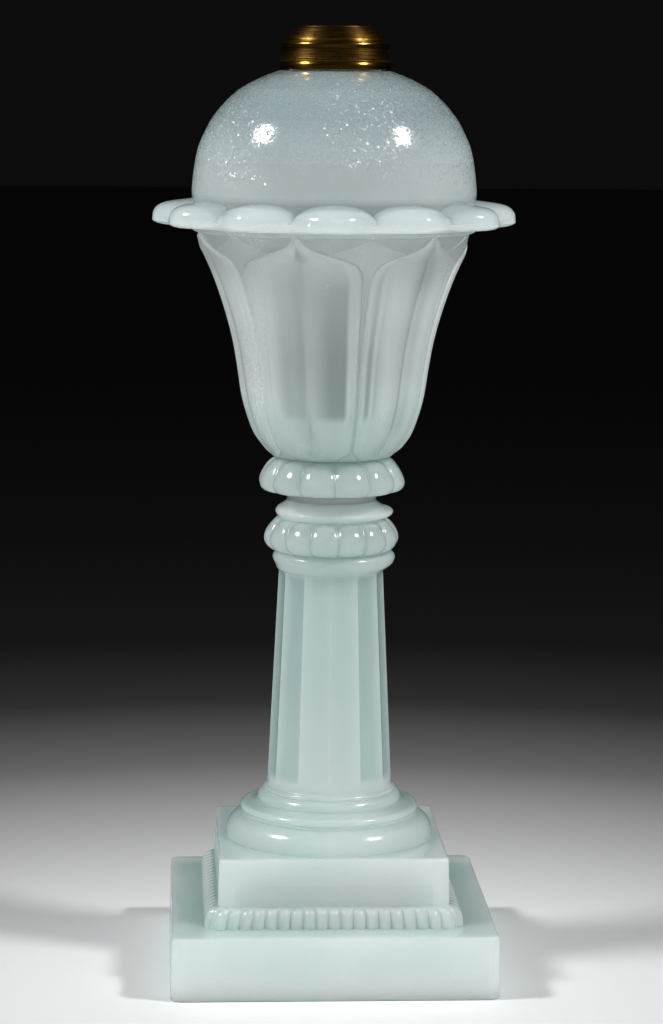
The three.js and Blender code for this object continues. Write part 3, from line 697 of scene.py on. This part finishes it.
def smoothBand(tree, value, low, high):
    # Eases from 0 at low to 1 at high, and falls instead where low is above high.
    return addNode(tree, "ShaderNodeMapRange", {"Value": value, "From Min": low, "From Max": high},
                   interpolation_type="SMOOTHSTEP").outputs["Result"]


def window(tree, value, start, full, fade, end):
    # 0 up to the start, 1 from full to fade, and 0 again from the end.
    return product(tree, smoothBand(tree, value, start, full), smoothBand(tree, value, end, fade))


def placeOf(tree):
    return addNode(tree, "ShaderNodeTexCoord").outputs["Object"]


def axesOf(tree, vector):
    return addNode(tree, "ShaderNodeSeparateXYZ", {"Vector": vector}).outputs


def heightOf(tree):
    return axesOf(tree, placeOf(tree))["Z"]


def mapped(tree, vector, **settings):
    return addNode(tree, "ShaderNodeMapping", {"Vector": vector, **settings}).outputs["Vector"]


def facingOf(tree):
    # 0 where the surface faces the eye and 1 at its outline.
    return addNode(tree, "ShaderNodeLayerWeight", {"Blend": 0.5}).outputs["Facing"]


def attributeOf(tree, name):
    return addNode(tree, "ShaderNodeAttribute", attribute_name=name).outputs["Fac"]


def rampOver(tree, value, reach, marks):
    # Grey by value, read off (value, grey) marks that lie between 0 and the reach.
    ramp = addNode(tree, "ShaderNodeValToRGB")
    feed(tree, ramp.inputs["Fac"], mathNode(tree, "DIVIDE", value, reach))
    elements = ramp.color_ramp.elements
    elements[0].position, elements[1].position = marks[0][0] / reach, marks[-1][0] / reach
    for place, _ in marks[1:-1]:
        elements.new(place / reach)
    for element, (_, grey) in zip(elements, marks):
        element.color = (grey, grey, grey, 1)
    return ramp.outputs["Color"]


def heightRamp(tree, marks):
    # Grey by the height on the lamp: painted light and shade on the glass, dirt on the brass.
    return rampOver(tree, heightOf(tree), shadeReach, marks)


def bumped(tree, height, strength, distance, normal=None):
    node = addNode(tree, "ShaderNodeBump", {"Height": height, "Strength": strength, "Distance": distance})
    if normal:
        tree.links.new(normal, node.inputs["Normal"])
    return node.outputs["Normal"]


def newGroup(name, inputs, outputs):
    # Inputs are (label, kind, value) and outputs (label, kind), each kind a socket type.
    group = bpy.data.node_groups.new(name, "ShaderNodeTree")
    for label, kind, value in inputs:
        socket = group.interface.new_socket(label, in_out="INPUT", socket_type="NodeSocket" + kind)
        socket.default_value = value
    for label, kind in outputs:
        group.interface.new_socket(label, in_out="OUTPUT", socket_type="NodeSocket" + kind)
    return group, group.nodes.new("NodeGroupInput").outputs, group.nodes.new("NodeGroupOutput").inputs


def useGroup(tree, group, **values):
    return addNode(tree, "ShaderNodeGroup", values, node_tree=group).outputs


def grainGroup():
    # Fine sand left by the mould: soft unevenness, and grains that each tilt the surface their
    # own way, a third of them by much.
    group, given, result = newGroup("sandGrain", [("Scale", "Float", 1500.0), ("Tilt", "Float", 0.5)],
                                    [("Height", "Float"), ("Normal", "Vector"), ("Grains", "Float")])
    place = placeOf(group)
    fine = noiseFac(group, place, given["Scale"], roughness=0.6)
    coarse = noiseFac(group, place, product(group, given["Scale"], 0.3))
    feed(group, result["Height"], scaled(group, coarse, 0.6, fine))
    cells = addNode(group, "ShaderNodeTexVoronoi", {"Vector": place, "Scale": given["Scale"]})
    dice = addNode(group, "ShaderNodeTexWhiteNoise", {"Vector": cells.outputs["Position"]})
    picked = smoothBand(group, dice.outputs["Value"], 0.6, 0.7)
    feed(group, result["Grains"], picked)
    lean = vectorNode(group, "SUBTRACT", dice.outputs["Color"], (0.5, 0.5, 0.5))
    amount = product(group, mathNode(group, "ADD", picked, 0.05), given["Tilt"])
    normal = addNode(group, "ShaderNodeNewGeometry").outputs["Normal"]
    tilted = vectorNode(group, "MULTIPLY_ADD", lean, amount, normal)
    feed(group, result["Normal"], vectorNode(group, "NORMALIZE", tilted))
    return group


def cloudGroup():
    # Milky clouds in the glass: two colours mixed by slow noise drawn out along the axis.
    white = (1, 1, 1, 1)
    group, given, result = newGroup(
        "milkClouds", [("Thin", "Color", white), ("Dense", "Color", white), ("Scale", "Float", 30.0)],
        [("Color", "Color"), ("Cloud", "Float")])
    drawn = mapped(group, placeOf(group), Scale=(1, 1, 0.4))
    cloud = smoothBand(group, noiseFac(group, drawn, given["Scale"], 3.0), 0.35, 0.65)
    feed(group, result["Color"], mixColors(group, cloud, given["Thin"], given["Dense"]))
    feed(group, result["Cloud"], cloud)
    return group


sandGrain = grainGroup()
milkClouds = cloudGroup()

# Heights in the materials are metres, and shade holds (height, grey) marks up the lamp, all of
# them below the shadeReach. The shade marks are painted light and shade: they make the glass
# darker where the lamps light it more and lighter where it lies in shade.
shadeReach = 0.31
baseGlass = {
    "thin": (0.71, 0.875, 0.85), "dense": (0.77, 0.91, 0.885), "cloudScale": 30.0,
    "roughness": 0.155, "cloudRoughness": 0.03, "grainScale": 1300.0, "grainTilt": 0.05,
    "bump": 0.03, "edgePower": 6.0, "edgeShadeTint": (0.45, 0.68, 0.64),
    "pocketShadeTint": (0.95, 0.97, 0.96), "pocketWidth": (0.0322, 0.0312),
    "pocketHeight": (0.0255, 0.0262, 0.0328, 0.0338), "blockSide": (0.0362, 0.0364),
    "columnHeight": (0.0605, 0.064, 0.127, 0.1305), "columnSide": (0.02, 0.35),
    "columnFlankShade": (0.76, 0.80, 0.80),
    # Painted light and shade by height.
    "shade": [(0.0, 1.08), (0.005, 1.05), (0.011, 0.95), (0.02, 0.88), (0.042, 0.84), (0.052, 0.78),
              (0.060, 0.88), (0.064, 0.88), (0.07, 0.85), (0.1, 0.75), (0.127, 0.68), (0.135, 0.66),
              (0.145, 0.56), (0.1475, 0.86), (0.1495, 0.98), (0.151, 1.06), (0.155, 1.08)],
    "transmission": 0.10, "scatter": 0.85, "scatterRadius": (0.9, 1.0, 1.0), "scatterScale": 0.035,
}
fontGlass = {
    "thin": (0.735, 0.885, 0.865), "dense": (0.78, 0.92, 0.905), "cloudScale": 26.0,
    "bellStart": (0.1655, 0.1685), "petalStart": (0.2412, 0.2430), "domeStart": (0.2495, 0.2515),
    "bellRoughness": 0.36, "glossRoughness": 0.10, "grainRoughness": 0.2,
    "grainScale": 2300.0, "bellBump": 0.03, "domeBump": 0.05, "bellTilt": 0.14, "domeTilt": 0.9,
    "domeGrain": (0.243, 0.268), "sandDraw": (1, 1, 0.25), "sandScale": 55.0, "sandBand": (0.52, 0.62),
    "sandTilt": 0.45, "glintTint": 1.2, "glintLimit": (0.80, 0.95, 0.93),
    "knopTint": (0.96, 0.99, 0.97), "bellTint": (0.925, 0.975, 0.955),
    "petalTint": (0.97, 0.955, 0.985), "domeTint": (0.93, 0.98, 1.03),
    # Painted light and shade by places in leafSide: a leaf's rim and a back leaf's rim are painted
    # lighter, as where they catch the light, and the sunken ground between the leaves is painted darker.
    "leafLightAndShade": [((0.74, 0.82, 1.02, 1.1), 1.04), ((1.21, 1.25, 1.32, 1.42), 1.08),
                  ((1.3, 1.45, 1.6, 1.75), 0.90)],
    # Painted shade over the oil space, and a painted shadow on the far side of folds.
    "hollowShadeTint": 0.45, "hollowHeight": (0.1800, 0.1835, 0.222, 0.238), "squareOn": (0.26, 0.0),
    "wallShow": 0.45, "rightShow": 0.55, "rightBand": (0.0, 0.6), "leftShow": 0.6,
    "leftBand": (0.1, 0.5), "rightRim": (0.86, 0.76), "leftRim": (0.97, 0.86),
    "foldShadeTint": 0.66, "foldBand": (0.5, 0.05), "foldSlant": (0.15, 0.32),
    "foldHeight": (0.172, 0.180, 0.236, 0.2385), "edgePower": 4.0, "edgeShadeTint": (0.72, 0.78, 0.78),
    # Painted light and shade by height.
    "shade": [(0.152, 0.55), (0.162, 0.55), (0.166, 0.62), (0.169, 0.60), (0.180, 0.69),
              (0.190, 0.86), (0.215, 0.99), (0.232, 1.02), (0.2391, 0.93), (0.2394, 0.99),
              (0.2412, 0.98), (0.2428, 0.84), (0.2445, 0.71), (0.2465, 0.65), (0.2495, 0.64),
              (0.2515, 0.99), (0.262, 0.74), (0.276, 0.45), (0.288, 0.41), (0.3, 0.41)],
    "transmission": 0.05, "scatter": 0.85, "scatterRadius": (0.95, 1.0, 1.0), "scatterScale": 0.04,
}
bumpDepth = 0.0004


def milkWithPaintedShade(tree, look):
    # Cloudy colour times the painted light and shade by height, and the clouds themselves.
    clouds = useGroup(tree, milkClouds, Thin=(*look["thin"], 1), Dense=(*look["dense"], 1),
                      Scale=look["cloudScale"])
    return mixColors(tree, 1.0, clouds["Color"], heightRamp(tree, look["shade"]), "MULTIPLY"), clouds["Cloud"]


def paintedEdgeShade(tree, color, look):
    # Painted shade towards the outline: where the glass is seen at a slant its colour is darkened,
    # standing in for the dark behind showing through the milky glass.
    return tinted(tree, mathNode(tree, "POWER", facingOf(tree), look["edgePower"]), color, look["edgeShadeTint"])


def setGlass(tree, shader, look):
    feedAll(tree, shader, {"IOR": 1.5, "Transmission Weight": look["transmission"],
                           "Subsurface Weight": look["scatter"], "Subsurface Radius": look["scatterRadius"],
                           "Subsurface Scale": look["scatterScale"]})


def pocketPaintedShade(tree, look):
    # Painted shade on the block's sides above the moulding: a square-topped patch, painted darker where the
    # pocket lies behind them.
    # The smaller of |x| and |y| runs along a side, the larger points out of it.
    axes = axesOf(tree, placeOf(tree))
    x, y = (mathNode(tree, "ABSOLUTE", axes[name]) for name in "XY")
    along = smoothBand(tree, mathNode(tree, "MINIMUM", x, y), *look["pocketWidth"])
    side = smoothBand(tree, mathNode(tree, "MAXIMUM", x, y), *look["blockSide"])
    return product(tree, along, side, window(tree, axes["Z"], *look["pocketHeight"]))


def paintedColumnShade(tree, look):
    # Painted shade: the column's flanks turn away from the camera and are painted darker than its middle.
    slant = smoothBand(tree, facingOf(tree), *look["columnSide"])
    return product(tree, window(tree, heightOf(tree), *look["columnHeight"]), slant)


def paintedHollowShade(tree, color, z, side, look):
    # Painted shade over the oil space: where the wall is looked at squarely it is painted darker in
    # patches on each leaf half, for the dark inside showing through, but not on the thick rims of the leaves.
    facing = facingOf(tree)
    right = attributeOf(tree, "leafRight")
    left = mathNode(tree, "SUBTRACT", 1.0, right)
    shadeRight = product(tree, right, look["rightShow"], smoothBand(tree, side, *look["rightBand"]))
    shadeLeft = product(tree, left, look["leftShow"], smoothBand(tree, side, *look["leftBand"]))
    thin = mathNode(tree, "ADD", mathNode(tree, "ADD", shadeRight, look["wallShow"]), shadeLeft)
    insideLeft = product(tree, left, smoothBand(tree, side, *look["leftRim"]))
    insideRims = mathNode(tree, "MAXIMUM", insideLeft, smoothBand(tree, side, *look["rightRim"]))
    square = smoothBand(tree, facing, *look["squareOn"])
    hollow = window(tree, z, *look["hollowHeight"])
    color = tinted(tree, product(tree, square, hollow, thin, insideRims), color, look["hollowShadeTint"])
    # Painted shadow: a fold looked at from the slant is painted dark on its far side.
    fold = product(tree, right, smoothBand(tree, side, *look["foldBand"]),
                   smoothBand(tree, facing, *look["foldSlant"]), window(tree, z, *look["foldHeight"]))
    return tinted(tree, fold, color, look["foldShadeTint"])


def baseGlassMaterial(look):
    material, tree, shader = newMaterial("milkyBaseGlass")
    color, cloud = milkWithPaintedShade(tree, look)
    # Painted shade over the pocket.
    color = tinted(tree, pocketPaintedShade(tree, look), color, look["pocketShadeTint"])
    # Painted shade on the column's flanks.
    color = tinted(tree, paintedColumnShade(tree, look), color, look["columnFlankShade"])
    grain = useGroup(tree, sandGrain, Scale=look["grainScale"], Tilt=look["grainTilt"])
    feedAll(tree, shader, {"Base Color": paintedEdgeShade(tree, color, look),
                           "Roughness": scaled(tree, cloud, look["cloudRoughness"], look["roughness"]),
                           "Normal": bumped(tree, grain["Height"], look["bump"], bumpDepth, grain["Normal"])})
    setGlass(tree, shader, look)
    return material


def fontGlassMaterial(look):
    # The knop and petals are glossy, the bell is matt, and the dome is glossy over a sandy grain.
    material, tree, shader = newMaterial("milkyFontGlass")
    z = heightOf(tree)
    aboveKnop, onPetals, onDome = (smoothBand(tree, z, *look[name])
                                   for name in ("bellStart", "petalStart", "domeStart"))
    bell = product(tree, aboveKnop, mathNode(tree, "SUBTRACT", 1.0, onPetals))
    dome = product(tree, onDome, smoothBand(tree, z, *look["domeGrain"]))
    # The bell is sandy in patches only, drawn out along it. The dome's foot is smoother.
    drawn = mapped(tree, placeOf(tree), Scale=look["sandDraw"])
    sand = smoothBand(tree, noiseFac(tree, drawn, look["sandScale"]), *look["sandBand"])
    bellTilt = product(tree, bell, scaled(tree, sand, look["sandTilt"], look["bellTilt"]))
    tilt = scaled(tree, dome, look["domeTilt"], bellTilt)
    grain = useGroup(tree, sandGrain, Scale=look["grainScale"], Tilt=tilt)
    tint = mixColors(tree, aboveKnop, look["knopTint"], look["bellTint"])
    tint = mixColors(tree, onPetals, tint, look["petalTint"])
    tint = mixColors(tree, onDome, tint, look["domeTint"])
    color = tinted(tree, 1.0, milkWithPaintedShade(tree, look)[0], tint)
    side = attributeOf(tree, "leafSide")
    # Painted light on the leaves' rims and painted shade on the ground between them.
    for places, paintedTone in look["leafLightAndShade"]:
        color = tinted(tree, window(tree, side, *places), color, paintedTone)
    # Painted shade over the oil space and painted shadow beside the folds.
    color = paintedHollowShade(tree, color, z, side, look)
    # Painted glints: on the bell's sandy patches the picked grains are painted lighter, as if they caught the
    # light.
    paintedGlint = vectorNode(tree, "MINIMUM", tinted(tree, 1.0, color, look["glintTint"]), look["glintLimit"])
    color = mixColors(tree, product(tree, bell, sand, grain["Grains"]), color, paintedGlint)
    rough = scaled(tree, bell, look["bellRoughness"] - look["glossRoughness"], look["glossRoughness"])
    grainRough = product(tree, grain["Grains"], dome, look["grainRoughness"])
    relief = scaled(tree, bell, look["bellBump"], product(tree, onDome, look["domeBump"]))
    height = product(tree, grain["Height"], relief)
    feedAll(tree, shader, {"Base Color": paintedEdgeShade(tree, color, look),
                           "Roughness": mathNode(tree, "ADD", rough, grainRough),
                           "Normal": bumped(tree, height, 1.0, bumpDepth, grain["Normal"])})
    setGlass(tree, shader, look)
    return material


brass = {
    "bright": (0.62, 0.37, 0.07), "worn": (0.20, 0.09, 0.016), "dark": (0.050, 0.018, 0.006),
    "grooves": [(0.2937, 0.0), (0.2943, 1.0), (0.2951, 0.25), (0.2957, 0.9), (0.2962, 0.15),
                (0.2968, 0.75), (0.2972, 0.12), (0.2995, 0.1), (0.3003, 0.7), (0.3008, 0.2),
                (0.3014, 0.95), (0.3026, 0.8), (0.3045, 0.9)],
    "squeeze": (0.02, 0.02, 1.0), "roughness": 0.21, "dirtRoughness": 0.25,
    "streakScale": 5200.0, "blotchScale": 260.0, "bump": 0.35, "bumpDepth": 0.0001,
}


def brassMaterial(look):
    # Spun brass: fine lines round the axis spread its highlights upright, the grooves are
    # dark with old dirt and the shoulder is blotched.
    material, tree, shader = newMaterial("tarnishedBrass")
    place = placeOf(tree)
    streaks = noiseFac(tree, mapped(tree, place, Scale=look["squeeze"]), look["streakScale"], 1.0, 0.6)
    blotches = noiseFac(tree, place, look["blotchScale"], 4.0, 0.65)
    patches = scaled(tree, smoothBand(tree, blotches, 0.42, 0.62), 0.5, 0.55)
    grime = mathNode(tree, "MULTIPLY", heightRamp(tree, look["grooves"]), patches, clamp=True)
    color = mixColors(tree, smoothBand(tree, streaks, 0.35, 0.65), look["worn"], look["bright"])
    around = addNode(tree, "ShaderNodeTangent", direction_type="RADIAL", axis="Z")
    lines = scaled(tree, blotches, 0.8, streaks)
    feedAll(tree, shader, {"Base Color": mixColors(tree, grime, color, look["dark"]), "Metallic": 1,
                           "Anisotropic": 0.6, "Anisotropic Rotation": 0.25,
                           "Tangent": around.outputs["Tangent"],
                           "Roughness": scaled(tree, grime, look["dirtRoughness"], look["roughness"]),
                           "Normal": bumped(tree, lines, look["bump"], look["bumpDepth"])})
    return material


def plasterMaterial():
    # Dry yellowed plaster: pale and dull, with pores.
    material, tree, shader = newMaterial("oldPlaster")
    place = placeOf(tree)
    stain = smoothBand(tree, noiseFac(tree, place, 180.0, 4.0, 0.6), 0.4, 0.65)
    pores = noiseFac(tree, place, 2200.0, 3.0, 0.6)
    feedAll(tree, shader, {"Base Color": mixColors(tree, stain, (0.70, 0.66, 0.58), (0.52, 0.45, 0.35)),
                           "Roughness": 0.92, "Normal": bumped(tree, pores, 0.5, 0.0002)})
    return material


baseFinish = baseGlassMaterial(baseGlass)
fontFinish = fontGlassMaterial(fontGlass)
brassFinish = brassMaterial(brass)
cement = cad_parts["collar_cement"]
cement.data.materials.clear()
cement.data.materials.append(plasterMaterial())

for piece, node, slot, finish in ((glassBase, "base", "base_glass", baseFinish),
                                  (glassWafer, "wafer", "base_glass", baseFinish),
                                  (glassFont, "font", "font_glass", fontFinish),
                                  (brassCollar, "collar", "brass", brassFinish)):
    piece.data.materials.append(finish)
    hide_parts(node)
    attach(piece, "root")
print("materials and bodies set")


# Stage: a pale floor with painted light that falls off to a near-black backdrop, two softboxes
# and a dim sky.
stage = {
    "floorHalf": 6.0, "floorDrop": 0.0001, "bounce": 1.0, "backdrop": 0.0038,
    # Painted light on the floor: its grey by distance in metres from a point just in front of the
    # lamp, brightest near the lamp where the softboxes light it most.
    "fadeForward": 0.06, "fadeReach": 4.0,
    "fade": [(0.0, 0.97), (0.05, 0.96), (0.126, 0.86), (0.18, 0.69), (0.243, 0.48), (0.348, 0.184),
             (0.472, 0.047), (0.62, 0.017), (1.0, 0.015), (2.0, 0.020), (4.0, 0.024)],
    "left": {"azimuth": -79, "elevation": 42, "distance": 0.9, "size": 0.2, "watts": 5.7},
    "right": {"azimuth": 67, "elevation": 43, "distance": 0.9, "size": 0.145, "watts": 5.3},
    "aimHeight": 0.2, "flattening": 0.8,
    "skyTop": 0.0, "skyHorizon": 0.08, "skyBand": (0.1, 0.8), "skyColor": (0.96, 0.98, 1.0, 1),
    "frontGlow": 3.7, "glowBand": (0.30, 0.05), "glowAhead": (0.1, 0.95),
}


def seenRays(tree):
    # 1 for rays that see the background: from the camera, off gloss and through glass.
    path = addNode(tree, "ShaderNodeLightPath").outputs
    seen = mathNode(tree, "MAXIMUM", path["Is Camera Ray"], path["Is Glossy Ray"])
    return mathNode(tree, "MAXIMUM", seen, path["Is Transmission Ray"])


def makeFloor(spec):
    # The floor's colour for the camera, gloss and glass is painted light: its grey falls off with
    # distance, a painted pool of light round the lamp. Light that bounces up from the floor meets one
    # even pale colour instead.
    mesh = bpy.data.meshes.new("floor")
    half = spec["floorHalf"]
    corners = [(-half, -half, 0), (half, -half, 0), (half, half, 0), (-half, half, 0)]
    mesh.from_pydata(corners, [], [(0, 1, 2, 3)])
    floor = bpy.data.objects.new("floor", mesh)
    scene.collection.objects.link(floor)
    floor.location.z = -spec["floorDrop"]
    material, tree, shader = newMaterial("floorPaper")
    shifted = mapped(tree, placeOf(tree), Location=(0, spec["fadeForward"], 0))
    seen = rampOver(tree, vectorNode(tree, "LENGTH", shifted), spec["fadeReach"], spec["fade"])
    feedAll(tree, shader, {"Base Color": mixColors(tree, seenRays(tree), (spec["bounce"],) * 3, seen),
                           "Roughness": 0.9, "Specular IOR Level": 0.0})
    mesh.materials.append(material)


def makeSoftbox(name, azimuth, elevation, distance, size, watts):
    data = bpy.data.lights.new(name, "AREA")
    data.shape = "ELLIPSE"
    data.size = size
    data.size_y = size * stage["flattening"]
    data.energy = watts
    lamp = bpy.data.objects.new(name, data)
    a, e = math.radians(azimuth), math.radians(elevation)
    offset = Vector((math.sin(a) * math.cos(e), -math.cos(a) * math.cos(e), math.sin(e))) * distance
    lamp.location = Vector((0, 0, stage["aimHeight"])) + offset
    lamp.rotation_euler = (-offset).to_track_quat("-Z", "Y").to_euler()
    scene.collection.objects.link(lamp)


def makeWorld(spec):
    # A dim sky, brighter at the horizon, and a low glow from the camera's side, as a white room
    # gives. What the background shows is near black.
    world = bpy.data.worlds.new("studio")
    scene.world = world
    world.use_nodes = True
    tree = world.node_tree
    tree.nodes.clear()
    way = axesOf(tree, addNode(tree, "ShaderNodeTexCoord").outputs["Generated"])
    sky = scaled(tree, smoothBand(tree, way["Z"], *spec["skyBand"]), spec["skyTop"] - spec["skyHorizon"],
                 spec["skyHorizon"])
    ahead = smoothBand(tree, product(tree, way["Y"], -1.0), *spec["glowAhead"])
    glow = product(tree, smoothBand(tree, way["Z"], *spec["glowBand"]), ahead, spec["frontGlow"])
    light = addNode(tree, "ShaderNodeBackground", {"Color": spec["skyColor"],
                                                   "Strength": mathNode(tree, "ADD", sky, glow)})
    dark = addNode(tree, "ShaderNodeBackground", {"Color": (spec["backdrop"],) * 3 + (1,)})
    mix = addNode(tree, "ShaderNodeMixShader", {"Fac": seenRays(tree)})
    tree.links.new(light.outputs["Background"], mix.inputs[1])
    tree.links.new(dark.outputs["Background"], mix.inputs[2])
    output = addNode(tree, "ShaderNodeOutputWorld")
    tree.links.new(mix.outputs["Shader"], output.inputs["Surface"])


makeFloor(stage)
for name in ("left", "right"):
    makeSoftbox(name + "Softbox", **stage[name])
makeWorld(stage)
print("stage lit")
